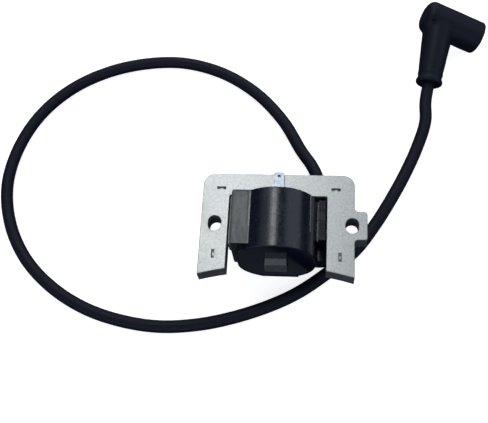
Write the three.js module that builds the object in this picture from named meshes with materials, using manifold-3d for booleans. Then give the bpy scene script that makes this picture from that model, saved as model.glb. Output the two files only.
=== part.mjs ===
// Ignition coil of a small engine: a laminated three-legged core, a moulded coil body on its centre
// leg, a spade terminal for the stop switch, a high-voltage lead and an elbow boot for the plug.
//
// Millimetres. +X runs across the core towards the ear, +Y from the pole ends to the top bar and
// +Z from the surface that the coil lies on up through the core's plates. Inside coilGroup x = 0 is
// the middle of the centre leg, y = 0 is the line through both mounting slots and z = 0 is the back.
import * as THREE from "three";
import { mergeVertices } from "three/addons/utils/BufferGeometryUtils.js";
import Module from "manifold-3d";

const wasm = await Module();
wasm.setup();

// ---- Driving dimensions -------------------------------------------------------------------------

// Core: a stack of stamped sheets, held together by four interlocks pressed through them.
const SHEET_COUNT = 13;
const SHEET_PITCH = 0.64;
const SHEET_THICKNESS = 0.62;
const CORE_BACK = 14.3;
const CORE_FRONT = CORE_BACK + SHEET_COUNT * SHEET_PITCH - (SHEET_PITCH - SHEET_THICKNESS);
const CORE_MIDDLE = (CORE_BACK + CORE_FRONT) / 2;
const CORE_HALF_WIDTH = 32;
const CORE_TOP = 22.8;
const CORE_CORNER_RADIUS = 4.9;
const WINDOW_HALF_WIDTH = 20.56;
const WINDOW_TOP = 12.92;
const LEG_HALF_WIDTH = 4.55;
const POLE_RADIUS = 118;
const POLE_Y = -18.05;
const EAR = { reach: 37.25, bottom: -6.1, top: 6.5 };
const SLOT = { radius: 2.7, straight: 1.3, leftX: -26.15, rightX: 31 };
const INTERLOCK = { length: 3.9, width: 1.3, depth: 0.4, relief: 0.2 };
const INTERLOCK_PLACES = [
  { x: -24.2, y: 16.15, upright: false },
  { x: 24.2, y: 16.15, upright: false },
  { x: -26.0, y: -13.5, upright: true },
  { x: 26.1, y: -13.7, upright: true },
];

// Coil body: a round-fronted barrel across the core, with its lowest arc flattened to lie on.
const BODY = { radius: 16.2, frontCentre: 22.2, rearCentre: 14.6, bottom: -15.4, top: 10.2 };
const CHAMBER = { radius: 13.9, rearCentre: 16.4, top: 8.9 };
const END_PLATE = { seatRadius: 15.3, radius: 15.2, depth: 1.5, thickness: 1.25, lowest: 1.2 };
const LEG_HOLE = [4.9, 4.5, 0.4];
const CUP = { left: -18.2, right: -8, bottom: -13.3, top: 10.2, back: 11.6, front: 34.6, corner: 0.7 };
const CUP_POCKET = { left: -17.5, right: -11.1, bottom: -12.5, top: 9.4, floor: 30.6 };
const CUP_WALL = 1;
const FLANGE = { left: -20, right: -17, bottom: -9, top: 12.4, belowCoreFront: 0.3 };
const WING = { left: 12, right: 20, bottom: -6.2, top: 11.4, back: 12, belowCoreFront: 0.6 };
const KEEL = { left: -7, right: 9, front: 6 };
const REAR_WINDOW = { left: -5.5, right: 7.5, bottom: -12, top: 7, front: 4, resinBack: 0.4 };
const TOWER = { x: 17.5, z: 9.5, radius: 4.5, bottom: -12.6, top: 12.4, bore: 3.1, boreEnd: 0 };
const TOWER_WEB = { left: 11, top: 9.4, back: 5.2, front: 13.8 };
const SPIKE_HOLE = { radius: 1, depth: 5 };
const BLADE_SLOT = { side: 0.25, front: 1, end: 11 };

// Windings, one inside the other on the centre leg.
const PRIMARY = { wall: 0.9, flange: [8.4, 8, 2.8], bottom: -13.7, top: 8.6, coil: [7.9, 7.5, 2.6] };
const SECONDARY = { tube: [9.4, 9, 3.6], bore: [8.7, 8.3, 3], flange: [12.2, 11.6, 6.5] };
const SECTION_COUNT = 4;
const FLANGE_THICKNESS = 0.9;
const FLANGE_OVER_WIRE = 0.5;
const PRIMARY_TUBE_CORNER = 1;
const WINDING_GAP = 0.2;

// Ignition module, potted in the cup. Each component stands on the board: its name, middle x and y,
// width, length, height and finish.
const BOARD = { left: -16.7, right: -12.2, bottom: -11, top: 8, back: 30.75, thickness: 0.8 };
const BOARD_FRONT = BOARD.back + BOARD.thickness;
const COMPONENTS = [
  ["power_transistor", -14.4, 4.2, 4, 5.6, 1.7, "component"],
  ["drive_transistor", -13.2, -1.2, 1.4, 2.9, 1.1, "component"],
  ["bias_resistor", -15.5, -0.9, 1.6, 3.2, 0.6, "component"],
  ["sense_resistor", -15.5, -5.0, 1.6, 3.2, 0.6, "component"],
  ["clamp_diode", -13.3, -5.2, 1.6, 3.4, 1.2, "component"],
  ["surge_capacitor", -14.4, -9.0, 3.8, 2.4, 1.6, "board"],
];
const SOLDER_GAP = 0.02;
const RESIN_ROOM = 0.15;

// Stop terminal, the strap that grounds the module on the core's left leg and the lead's spike.
const BLADE = { halfWidth: 2.2, x: 0.15, back: 23.15, thickness: 0.8, end: 23.3, tipCorner: 0.9 };
const SHOULDER = { halfWidth: 2.75, start: 9.1, end: 17.4, corner: 0.3 };
const BLADE_HOLE = { radius: 0.55, fromEnd: 1.8 };
const STRAP = { halfLength: 4, fromLeg: 0.15, thickness: 0.3, back: 0.4, front: 4.4 };
const SPIKE = { radius: 0.7, shank: 5.8, length: 7.1 };

// High-voltage lead and plug boot.
const LEAD_RADIUS = 2.75;
const LEAD_SIDES = 10;
const LEAD_STEPS = 44;
const LEAD_HEIGHT = 2.85;
const SEAL = { bore: 3.05, rootRadius: 4.3, tipRadius: 3.6, collar: 0.8, length: 3.2 };
const BOOT_CENTRE = [69.05, 107.1, 13.8];
const BOOT_SLOPE = 11;
const BOOT_ROLL = 18.5;
const BOOT_HEADING = -9.9;
const BOOT_ELBOW = 82.5;
const BARREL = { radius: 7.6, mouth: 20.3, end: -8.2, endRounding: 3.5, rim: 1.1, bore: 5.1, boreEnd: -4.6 };
const ROUND_END_STEPS = 4;
const SLEEVE = { root: 7.4, tip: 5.3, length: 31.5, bore: 3.1, flare: 4.4, flareLength: 6 };
const LIP = { radius: 6.1, endRadius: 5.5, full: [0.7, 1.5], length: 2.4 };
const CLIP = { inner: 3.2, outer: 3.7, near: 1.5, far: 11, opening: 50 };
const FERRULE = { radius: 1.9, tipRadius: 1.3, taper: 1, near: 4.2, far: 12 };
const LEAD_INSIDE_BOOT = 12.3;

// Clearance round a fitted piece, how far a cutter goes past a surface, and a cutter's "far away".
const FIT = 0.1;
const THROUGH = 1;
const FAR = 60;

// The part's origin is under the middle of the core and coil body, on the surface they lie on.
const MIDDLE_X = (EAR.reach - CORE_HALF_WIDTH) / 2;
const MIDDLE_Y = (BLADE.end + poleY(CORE_HALF_WIDTH)) / 2;

// ---- Shapes, solids and meshes ------------------------------------------------------------------

// The pole ends follow the flywheel's rim, whose centre is below the core.
function poleY(x) {
  return POLE_Y - POLE_RADIUS + Math.sqrt(POLE_RADIUS ** 2 - x ** 2);
}

// A closed outline through corners [x, y, radius], each rounded by its own radius.
function roundedOutline(corners, target = new THREE.Shape()) {
  corners.forEach(([x, y, radius = 0], i) => {
    const corner = new THREE.Vector2(x, y);
    const before = new THREE.Vector2(...corners.at(i - 1)).sub(corner).normalize();
    const after = new THREE.Vector2(...corners[(i + 1) % corners.length]).sub(corner).normalize();
    const draw = i === 0 ? "moveTo" : "lineTo";
    if (radius === 0) {
      target[draw](x, y);
      return;
    }
    const half = Math.acos(before.dot(after)) / 2;
    const centre = before.clone().add(after).normalize().multiplyScalar(radius / Math.sin(half));
    centre.add(corner);
    const start = before.multiplyScalar(radius / Math.tan(half)).add(corner);
    const end = after.multiplyScalar(radius / Math.tan(half)).add(corner);
    const clockwise = (start.x - x) * (end.y - y) - (start.y - y) * (end.x - x) > 0;
    target[draw](start.x, start.y);
    const from = Math.atan2(start.y - centre.y, start.x - centre.x);
    const to = Math.atan2(end.y - centre.y, end.x - centre.x);
    target.absarc(centre.x, centre.y, radius, from, to, clockwise);
  });
  target.closePath();
  return target;
}

function rectangle(left, bottom, right, top, radius = 0) {
  return roundedOutline([
    [left, bottom, radius],
    [right, bottom, radius],
    [right, top, radius],
    [left, top, radius],
  ]);
}

// A round-cornered section [half width, half height, radius] about the centre leg's axis.
function legSection([halfWidth, halfHeight, radius]) {
  return rectangle(-halfWidth, CORE_MIDDLE - halfHeight, halfWidth, CORE_MIDDLE + halfHeight, radius);
}

// Two half circles joined by straight sides, one centre above the other.
function stadium(radius, low, high, x = 0) {
  const shape = new THREE.Shape();
  shape.absarc(x, low, radius, -Math.PI, 0, false);
  shape.absarc(x, high, radius, 0, Math.PI, false);
  shape.closePath();
  return shape;
}

function alongZ(shape, from, to, curveSegments = 3) {
  const depth = to - from;
  const geometry = new THREE.ExtrudeGeometry(shape, { depth, bevelEnabled: false, curveSegments });
  return geometry.translate(0, 0, from);
}

// The shape's x and y become the part's x and z.
function alongY(shape, from, to, curveSegments = 3) {
  return alongZ(shape, -to, -from, curveSegments).rotateX(Math.PI / 2);
}

function box(x0, y0, z0, x1, y1, z1) {
  const geometry = new THREE.BoxGeometry(x1 - x0, y1 - y0, z1 - z0);
  return geometry.translate((x0 + x1) / 2, (y0 + y1) / 2, (z0 + z1) / 2);
}

function cylinderY(radius, x, z, from, to, sides = 24) {
  const geometry = new THREE.CylinderGeometry(radius, radius, to - from, sides);
  return geometry.translate(x, (from + to) / 2, z);
}

function solid(geometry) {
  const bare = geometry.clone();
  bare.deleteAttribute("normal");
  bare.deleteAttribute("uv");
  const merged = mergeVertices(bare, 1e-4);
  const mesh = new wasm.Mesh({
    numProp: 3,
    vertProperties: new Float32Array(merged.attributes.position.array),
    triVerts: new Uint32Array(merged.index.array),
  });
  return new wasm.Manifold(mesh);
}

function join(...geometries) {
  return geometries.map(solid).reduce((sum, next) => sum.add(next));
}

function cut(body, ...geometries) {
  return geometries.map(solid).reduce((rest, next) => rest.subtract(next), body);
}

function geometryOf(body) {
  const { vertProperties, triVerts } = body.getMesh();
  const geometry = new THREE.BufferGeometry();
  geometry.setAttribute("position", new THREE.BufferAttribute(vertProperties, 3));
  geometry.setIndex(new THREE.BufferAttribute(triVerts, 1));
  geometry.computeVertexNormals();
  return geometry;
}

const FINISHES = {
  steel: { color: 0xb9bcbb, roughness: 0.42, metalness: 0.9 },
  moulding: { color: 0x16181f, roughness: 0.35, metalness: 0 },
  resin: { color: 0x4c5050, roughness: 0.55, metalness: 0 },
  bobbin: { color: 0xd9d2bd, roughness: 0.6, metalness: 0 },
  copper: { color: 0xa9572e, roughness: 0.4, metalness: 0.9 },
  tinned: { color: 0xc4cdd6, roughness: 0.3, metalness: 1 },
  brass: { color: 0xb99a4c, roughness: 0.35, metalness: 1 },
  board: { color: 0x2d5a34, roughness: 0.6, metalness: 0 },
  component: { color: 0x1b1b1c, roughness: 0.5, metalness: 0 },
  rubber: { color: 0x1d1e20, roughness: 0.7, metalness: 0 },
};

function piece(name, shape, finish) {
  const geometry = shape.isBufferGeometry ? shape : geometryOf(shape);
  const mesh = new THREE.Mesh(geometry, new THREE.MeshStandardMaterial(FINISHES[finish]));
  mesh.name = name;
  return mesh;
}

// ---- Core ---------------------------------------------------------------------------------------

function poleArc(fromX, toX, parts) {
  return Array.from({ length: parts + 1 }, (_, i) => {
    const x = fromX + ((toX - fromX) * i) / parts;
    return [x, poleY(x)];
  });
}

function sheetShape() {
  const edge = CORE_HALF_WIDTH;
  const shape = roundedOutline([
    ...poleArc(-edge, -WINDOW_HALF_WIDTH, 3),
    [-WINDOW_HALF_WIDTH, WINDOW_TOP],
    [-LEG_HALF_WIDTH, WINDOW_TOP],
    ...poleArc(-LEG_HALF_WIDTH, LEG_HALF_WIDTH, 3),
    [LEG_HALF_WIDTH, WINDOW_TOP],
    [WINDOW_HALF_WIDTH, WINDOW_TOP],
    ...poleArc(WINDOW_HALF_WIDTH, edge, 3),
    [edge, EAR.bottom, 1.6],
    [EAR.reach, EAR.bottom, 1.1],
    [EAR.reach, EAR.top, 1.5],
    [edge, EAR.top, 1.6],
    [edge, CORE_TOP, CORE_CORNER_RADIUS],
    [-edge, CORE_TOP, CORE_CORNER_RADIUS],
  ]);
  for (const x of [SLOT.leftX, SLOT.rightX]) {
    const slot = new THREE.Path();
    slot.absarc(x, SLOT.straight / 2, SLOT.radius, 0, Math.PI, false);
    slot.absarc(x, -SLOT.straight / 2, SLOT.radius, Math.PI, 2 * Math.PI, false);
    slot.closePath();
    shape.holes.push(slot);
  }
  return shape;
}

function interlockBox({ x, y, upright }, length, width, z0, z1) {
  const halfX = (upright ? width : length) / 2;
  const halfY = (upright ? length : width) / 2;
  return box(x - halfX, y - halfY, z0, x + halfX, y + halfY, z1);
}

// The interlocks show as dents in the front sheet and as low bumps on the back one.
function coreSheets() {
  const shape = sheetShape();
  const { length, width, depth, relief } = INTERLOCK;
  return Array.from({ length: SHEET_COUNT }, (_, i) => {
    const back = CORE_BACK + i * SHEET_PITCH;
    const front = back + SHEET_THICKNESS;
    const outer = i === 0 || i === SHEET_COUNT - 1;
    const sheet = alongZ(shape, back, front, outer ? 6 : 3);
    const name = `core_sheet_${String(i + 1).padStart(2, "0")}`;
    if (i === SHEET_COUNT - 1) {
      const dents = INTERLOCK_PLACES.map((place) =>
        interlockBox(place, length, width, front - depth, front + THROUGH));
      return piece(name, cut(solid(sheet), ...dents), "steel");
    }
    if (i === 0) {
      const bumps = INTERLOCK_PLACES.map((place) =>
        interlockBox(place, length - relief, width - relief, back - depth, back + depth));
      return piece(name, join(sheet, ...bumps), "steel");
    }
    return piece(name, sheet, "steel");
  });
}

// ---- Coil body ----------------------------------------------------------------------------------

function bodyPrism(radius, rearCentre, bottom, top, curveSegments) {
  return alongY(stadium(radius, rearCentre, BODY.frontCentre), bottom, top, curveSegments);
}

function belowSurface(height) {
  return box(-FAR, -FAR, -FAR, FAR, FAR, height);
}

function legPassage(bottom, top) {
  return alongY(legSection(LEG_HOLE), bottom, top, 2);
}

// What the cup's pocket takes from the chamber behind it, wall and clearance included.
function behindPocket(clearance) {
  return box(-FAR, CUP.bottom - clearance, CUP_POCKET.floor - CUP_WALL - clearance,
    CUP_POCKET.right + CUP_WALL + clearance, CUP.top, FAR);
}

function coilHousing() {
  const outside = join(
    bodyPrism(BODY.radius, BODY.rearCentre, BODY.bottom, BODY.top, 12),
    alongZ(rectangle(CUP.left, CUP.bottom, CUP.right, CUP.top, CUP.corner), CUP.back, CUP.front, 2),
    box(FLANGE.left, FLANGE.bottom, CORE_BACK + FIT,
      FLANGE.right, FLANGE.top, CORE_FRONT - FLANGE.belowCoreFront),
    box(WING.left, WING.bottom, WING.back, WING.right, WING.top, CORE_FRONT - WING.belowCoreFront),
    cylinderY(TOWER.radius, TOWER.x, TOWER.z, TOWER.bottom, TOWER.top),
    box(TOWER_WEB.left, TOWER.bottom, TOWER_WEB.back, TOWER.x, TOWER_WEB.top, TOWER_WEB.front),
    box(KEEL.left, BODY.bottom, 0, KEEL.right, BODY.top, KEEL.front),
  );
  const seatBottom = BODY.bottom - THROUGH;
  const seatTop = BODY.bottom + END_PLATE.depth;
  const chamber = cut(
    solid(bodyPrism(CHAMBER.radius, CHAMBER.rearCentre, seatBottom, CHAMBER.top, 8)),
    behindPocket(0),
  );
  const seat = cut(
    solid(bodyPrism(END_PLATE.seatRadius, BODY.rearCentre, seatBottom, seatTop, 12)),
    belowSurface(END_PLATE.lowest - FIT),
  );
  const slotHalf = SHOULDER.halfWidth + BLADE_SLOT.side;
  return cut(
    outside.subtract(chamber).subtract(seat),
    belowSurface(0),
    legPassage(CHAMBER.top - THROUGH, BODY.top + THROUGH),
    box(BLADE.x - slotHalf, CHAMBER.top - THROUGH, CORE_FRONT,
      BLADE.x + slotHalf, BLADE_SLOT.end, BLADE.back + BLADE_SLOT.front),
    box(REAR_WINDOW.left, REAR_WINDOW.bottom, -THROUGH,
      REAR_WINDOW.right, REAR_WINDOW.top, REAR_WINDOW.front),
    cylinderY(TOWER.bore, TOWER.x, TOWER.z, TOWER.boreEnd, TOWER.top + THROUGH),
    cylinderY(SPIKE_HOLE.radius, TOWER.x, TOWER.z,
      TOWER.boreEnd - SPIKE_HOLE.depth, TOWER.boreEnd + THROUGH, 12),
    box(CUP_POCKET.left, CUP_POCKET.bottom, CUP_POCKET.floor,
      CUP_POCKET.right, CUP_POCKET.top, CUP.front + THROUGH),
  );
}

function endPlate() {
  const from = BODY.bottom + END_PLATE.depth - END_PLATE.thickness - FIT;
  const to = BODY.bottom + END_PLATE.depth - FIT;
  return cut(
    solid(bodyPrism(END_PLATE.radius, BODY.rearCentre, from, to, 12)),
    belowSurface(END_PLATE.lowest),
    legPassage(from - THROUGH, to + THROUGH),
  );
}

// The resin round the windings also fills the window in the back.
function windingResin() {
  const bottom = BODY.bottom + END_PLATE.depth + FIT;
  const roomForWinding = SECONDARY.flange.map((size) => size + RESIN_ROOM);
  const fill = join(
    bodyPrism(CHAMBER.radius - FIT, CHAMBER.rearCentre, bottom, CHAMBER.top - FIT, 8),
    box(REAR_WINDOW.left + FIT, REAR_WINDOW.bottom + FIT, REAR_WINDOW.resinBack,
      REAR_WINDOW.right - FIT, REAR_WINDOW.top - FIT, REAR_WINDOW.front),
  );
  return cut(
    fill,
    behindPocket(FIT),
    alongY(legSection(roomForWinding), bottom - THROUGH, CHAMBER.top + THROUGH, 4),
  );
}

// ---- Windings -----------------------------------------------------------------------------------

function ring(outer, inner, from, to, curveSegments = 3) {
  return cut(
    solid(alongY(legSection(outer), from, to, curveSegments)),
    alongY(legSection(inner), from - THROUGH, to + THROUGH, curveSegments),
  );
}

function bobbin(tube, bore, flange, bottoms, bottom, top) {
  const discs = bottoms.map((y) => alongY(legSection(flange), y, y + FLANGE_THICKNESS));
  return cut(
    join(alongY(legSection(tube), bottom, top, 2), ...discs),
    alongY(legSection(bore), bottom - THROUGH, top + THROUGH, 2),
  );
}

function windings() {
  const primaryTube = [LEG_HOLE[0] + PRIMARY.wall, LEG_HOLE[1] + PRIMARY.wall, PRIMARY_TUBE_CORNER];
  const primaryCore = primaryTube.map((size) => size + WINDING_GAP);
  const lastFlange = PRIMARY.top - FLANGE_THICKNESS;
  const step = (lastFlange - PRIMARY.bottom) / SECTION_COUNT;
  const flanges = Array.from({ length: SECTION_COUNT + 1 }, (_, i) => PRIMARY.bottom + i * step);
  const secondaryCore = SECONDARY.tube.map((size) => size + WINDING_GAP);
  const secondaryCoil = SECONDARY.flange.map((size) => size - FLANGE_OVER_WIRE);
  return [
    piece("primary_bobbin", bobbin(primaryTube, LEG_HOLE, PRIMARY.flange,
      [PRIMARY.bottom, lastFlange], PRIMARY.bottom, PRIMARY.top), "bobbin"),
    piece("primary_winding", ring(PRIMARY.coil, primaryCore,
      PRIMARY.bottom + FLANGE_THICKNESS + WINDING_GAP, lastFlange - WINDING_GAP), "copper"),
    piece("secondary_bobbin", bobbin(SECONDARY.tube, SECONDARY.bore, SECONDARY.flange,
      flanges, PRIMARY.bottom, PRIMARY.top), "bobbin"),
    ...flanges.slice(0, SECTION_COUNT).map((y, i) =>
      piece(`secondary_winding_${i + 1}`, ring(secondaryCoil, secondaryCore,
        y + FLANGE_THICKNESS + WINDING_GAP, y + step - WINDING_GAP), "copper")),
  ];
}

// ---- Ignition module in the cup -----------------------------------------------------------------

function moduleParts() {
  const { left, right, bottom, top, back } = BOARD;
  const foot = BOARD_FRONT + SOLDER_GAP;
  const components = COMPONENTS.map(([name, x, y, width, length, height, finish]) => {
    const sides = [x - width / 2, y - length / 2, x + width / 2, y + length / 2];
    return { name, sides, height, finish };
  });
  const pockets = components.map(({ sides: [x0, y0, x1, y1], height }) =>
    box(x0 - RESIN_ROOM, y0 - RESIN_ROOM, back,
      x1 + RESIN_ROOM, y1 + RESIN_ROOM, foot + height + RESIN_ROOM));
  const resin = cut(
    solid(box(CUP_POCKET.left + FIT, CUP_POCKET.bottom + FIT, CUP_POCKET.floor + FIT,
      CUP_POCKET.right - FIT, CUP_POCKET.top - FIT, CUP.front - FIT)),
    box(left - RESIN_ROOM, bottom - RESIN_ROOM, back - THROUGH,
      right + RESIN_ROOM, top + RESIN_ROOM, BOARD_FRONT + RESIN_ROOM),
    ...pockets,
  );
  return [
    piece("circuit_board", box(left, bottom, back, right, top, BOARD_FRONT), "board"),
    ...components.map(({ name, sides: [x0, y0, x1, y1], height, finish }) =>
      piece(name, box(x0, y0, foot, x1, y1, foot + height), finish)),
    piece("module_resin", resin, "resin"),
  ];
}

// ---- Terminals ----------------------------------------------------------------------------------

function stopTerminal() {
  const { halfWidth, x, back, thickness, end, tipCorner } = BLADE;
  const shape = roundedOutline([
    [x - SHOULDER.halfWidth, SHOULDER.start],
    [x + SHOULDER.halfWidth, SHOULDER.start],
    [x + SHOULDER.halfWidth, SHOULDER.end, SHOULDER.corner],
    [x + halfWidth, SHOULDER.end, SHOULDER.corner],
    [x + halfWidth, end, tipCorner],
    [x - halfWidth, end, tipCorner],
    [x - halfWidth, SHOULDER.end, SHOULDER.corner],
    [x - SHOULDER.halfWidth, SHOULDER.end, SHOULDER.corner],
  ]);
  const hole = new THREE.Path();
  hole.absarc(x, end - BLADE_HOLE.fromEnd, BLADE_HOLE.radius, 0, 2 * Math.PI, false);
  shape.holes.push(hole);
  return piece("stop_terminal", alongZ(shape, back, back + thickness, 4), "tinned");
}

// A brass strip between the left leg and the coil body.
function groundStrap() {
  const x = -WINDOW_HALF_WIDTH + STRAP.fromLeg;
  const strip = box(x, -STRAP.halfLength, CORE_BACK + STRAP.back,
    x + STRAP.thickness, STRAP.halfLength, CORE_BACK + STRAP.front);
  return piece("ground_strap", strip, "brass");
}

// A pointed pin that the lead's end is pushed onto.
function leadSpike() {
  const { radius, shank, length } = SPIKE;
  const start = TOWER.boreEnd - SPIKE_HOLE.depth + FIT;
  const pin = turned([[0, 0], [radius, 0], [radius, shank], [0, length]], 12);
  return pin.translate(TOWER.x, start, TOWER.z);
}

// ---- Lead and boot ------------------------------------------------------------------------------

const BOOT_TURN = new THREE.Euler(
  THREE.MathUtils.degToRad(BOOT_SLOPE),
  THREE.MathUtils.degToRad(BOOT_ROLL),
  THREE.MathUtils.degToRad(BOOT_HEADING),
  "ZXY",
);

// A point on the sleeve's axis, at a distance from the elbow's centre.
function onSleeveAxis(distance) {
  const point = new THREE.Vector3(0, -distance, 0).applyEuler(BOOT_TURN);
  return point.add(new THREE.Vector3(...BOOT_CENTRE)).toArray();
}

// The lead's way from the tower, round its loop on the surface and up into the boot.
const TOWER_X = TOWER.x - MIDDLE_X;
const TOWER_Y = -MIDDLE_Y;
const LEAD_ROUTE = [
  [TOWER_X, TOWER_Y + 2.7, TOWER.z],
  [TOWER_X, TOWER_Y + TOWER.top, TOWER.z],
  [TOWER_X, TOWER_Y + 19, TOWER.z - 0.3],
  [13.8, 27.5, 7.6],
  [11, 35, 5.6],
  [6, 43.5, 3.6],
  [-3, 59.5, LEAD_HEIGHT],
  [-16.5, 74.5, LEAD_HEIGHT],
  [-33.5, 85.5, LEAD_HEIGHT],
  [-52.5, 91, LEAD_HEIGHT],
  [-71.5, 90.5, LEAD_HEIGHT],
  [-90, 85.5, LEAD_HEIGHT],
  [-106.5, 76, LEAD_HEIGHT],
  [-119.5, 62, LEAD_HEIGHT],
  [-127.5, 44.5, LEAD_HEIGHT],
  [-130, 25, LEAD_HEIGHT],
  [-125.5, 5.5, LEAD_HEIGHT],
  [-115.5, -11.5, LEAD_HEIGHT],
  [-101.5, -24.5, LEAD_HEIGHT],
  [-85.5, -33.5, LEAD_HEIGHT],
  [-69, -38.5, LEAD_HEIGHT],
  [-52, -40.5, LEAD_HEIGHT],
  [-35, -39, LEAD_HEIGHT],
  [-19, -35, LEAD_HEIGHT],
  [-3.5, -29, LEAD_HEIGHT],
  [7.5, -23, LEAD_HEIGHT],
  [20, -13.5, LEAD_HEIGHT],
  [30.5, -4, LEAD_HEIGHT],
  [39, 8, LEAD_HEIGHT],
  [46.5, 21, LEAD_HEIGHT],
  [53, 34, LEAD_HEIGHT],
  [58.5, 47, 3.4],
  [62, 58.5, 5.3],
  onSleeveAxis(40),
  onSleeveAxis(SLEEVE.length - 2),
  onSleeveAxis(LEAD_INSIDE_BOOT),
];

function ignitionLead() {
  const points = LEAD_ROUTE.map((point) => new THREE.Vector3(...point));
  const extrudePath = new THREE.CatmullRomCurve3(points, false, "centripetal");
  const section = new THREE.Shape();
  Array.from({ length: LEAD_SIDES }, (_, i) => (2 * Math.PI * i) / LEAD_SIDES).forEach((angle, i) => {
    const draw = i === 0 ? "moveTo" : "lineTo";
    section[draw](LEAD_RADIUS * Math.cos(angle), LEAD_RADIUS * Math.sin(angle));
  });
  section.closePath();
  return new THREE.ExtrudeGeometry(section, { steps: LEAD_STEPS, extrudePath });
}

function leadSeal() {
  const points = [
    [SEAL.bore, 0],
    [SEAL.rootRadius, 0],
    [SEAL.rootRadius, SEAL.collar],
    [SEAL.tipRadius, SEAL.length],
    [SEAL.bore, SEAL.length],
    [SEAL.bore, 0],
  ].map(([radius, height]) => new THREE.Vector2(radius, height));
  return new THREE.LatheGeometry(points, 20).translate(TOWER.x, TOWER.top + FIT, TOWER.z);
}

// A solid of revolution about +Y through profile points [radius, distance].
function turned(profile, sides) {
  const points = profile.map(([radius, height]) => new THREE.Vector2(radius, height));
  return new THREE.LatheGeometry(points, sides);
}

// Turns a solid made along +Y to lie along the boot's barrel.
function toBarrel(geometry) {
  return geometry.rotateZ(THREE.MathUtils.degToRad(BOOT_ELBOW - 180));
}

function plugBoot() {
  const { radius, mouth, end, endRounding, rim, bore, boreEnd } = BARREL;
  const roundEnd = Array.from({ length: ROUND_END_STEPS + 1 }, (_, i) => {
    const angle = ((Math.PI / 2) * i) / ROUND_END_STEPS;
    const out = radius - endRounding + endRounding * Math.sin(angle);
    return [out, end + endRounding - endRounding * Math.cos(angle)];
  });
  const barrel = [[0, end], ...roundEnd, [radius, mouth - rim], [radius - rim, mouth], [0, mouth]];
  const tail = -SLEEVE.length;
  const sleeve = [
    [0, tail],
    [LIP.endRadius, tail],
    ...LIP.full.map((distance) => [LIP.radius, tail + distance]),
    [SLEEVE.tip, tail + LIP.length],
    [SLEEVE.root, 0],
    [0, 0],
  ];
  const sleeveBore = [
    [0, tail - THROUGH],
    [SLEEVE.flare, tail - THROUGH],
    [SLEEVE.bore, tail + SLEEVE.flareLength],
    [SLEEVE.bore, 0],
    [0, 0],
  ];
  const barrelBore = [[0, boreEnd], [bore, boreEnd], [bore, mouth + THROUGH], [0, mouth + THROUGH]];
  return cut(
    join(toBarrel(turned(barrel, 28)), turned(sleeve, 24)),
    toBarrel(turned(barrelBore, 24)),
    turned(sleeveBore, 20),
  );
}

// A spring ring with an open side, which snaps onto the plug's end.
function plugClip() {
  const { inner, outer, near, far, opening } = CLIP;
  const half = THREE.MathUtils.degToRad(opening / 2);
  const shape = new THREE.Shape();
  shape.absarc(0, 0, outer, half, 2 * Math.PI - half, false);
  shape.absarc(0, 0, inner, 2 * Math.PI - half, half, true);
  shape.closePath();
  return toBarrel(alongY(shape, near, far, 14));
}

// The crimped barrel on the end of the lead's wire.
function leadFerrule() {
  const { radius, tipRadius, taper, near, far } = FERRULE;
  return turned([[0, -far], [radius, -far], [radius, -near - taper], [tipRadius, -near], [0, -near]], 14);
}

// ---- Assembly -----------------------------------------------------------------------------------

const coilGroup = new THREE.Group();
coilGroup.position.set(-MIDDLE_X, -MIDDLE_Y, 0);
coilGroup.add(
  ...coreSheets(),
  piece("coil_housing", coilHousing(), "moulding"),
  piece("end_plate", endPlate(), "moulding"),
  piece("winding_resin", windingResin(), "resin"),
  ...windings(),
  ...moduleParts(),
  stopTerminal(),
  groundStrap(),
  piece("lead_spike", leadSpike(), "brass"),
  piece("lead_seal", leadSeal(), "rubber"),
);

const bootGroup = new THREE.Group();
bootGroup.position.set(...BOOT_CENTRE);
bootGroup.rotation.copy(BOOT_TURN);
bootGroup.add(
  piece("plug_boot", plugBoot(), "rubber"),
  piece("plug_clip", plugClip(), "brass"),
  piece("lead_ferrule", leadFerrule(), "tinned"),
);

const ignitionCoil = new THREE.Group();
ignitionCoil.add(coilGroup, bootGroup, piece("ignition_lead", ignitionLead(), "rubber"));

export default ignitionCoil;
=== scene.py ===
"""Ignition coil of a small engine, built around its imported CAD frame.

Pieces are made in millimetres from the coil's own datum (the middle of the centre leg, the line
through the mounting slots and the surface it lies on), and set into the frame in metres.
"""
import math
import random

import bmesh
import bpy
from mathutils import Matrix, Vector, noise


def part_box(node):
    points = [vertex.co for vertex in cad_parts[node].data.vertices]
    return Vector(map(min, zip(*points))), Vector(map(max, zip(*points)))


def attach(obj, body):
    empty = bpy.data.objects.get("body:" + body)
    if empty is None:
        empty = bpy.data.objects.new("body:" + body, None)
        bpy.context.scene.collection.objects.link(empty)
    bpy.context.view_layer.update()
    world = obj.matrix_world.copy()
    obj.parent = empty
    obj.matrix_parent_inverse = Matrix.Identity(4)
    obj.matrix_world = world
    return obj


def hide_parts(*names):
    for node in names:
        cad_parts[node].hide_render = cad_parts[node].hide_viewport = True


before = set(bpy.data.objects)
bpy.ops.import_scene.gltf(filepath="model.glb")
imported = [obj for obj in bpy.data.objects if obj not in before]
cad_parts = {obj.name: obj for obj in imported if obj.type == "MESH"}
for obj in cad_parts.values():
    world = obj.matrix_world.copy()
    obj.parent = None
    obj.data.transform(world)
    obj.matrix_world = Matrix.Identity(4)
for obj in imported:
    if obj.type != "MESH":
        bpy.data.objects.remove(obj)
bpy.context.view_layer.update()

MM = 0.001
SEED = 7

# ---- Driving dimensions, in millimetres ---------------------------------------------------------

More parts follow.
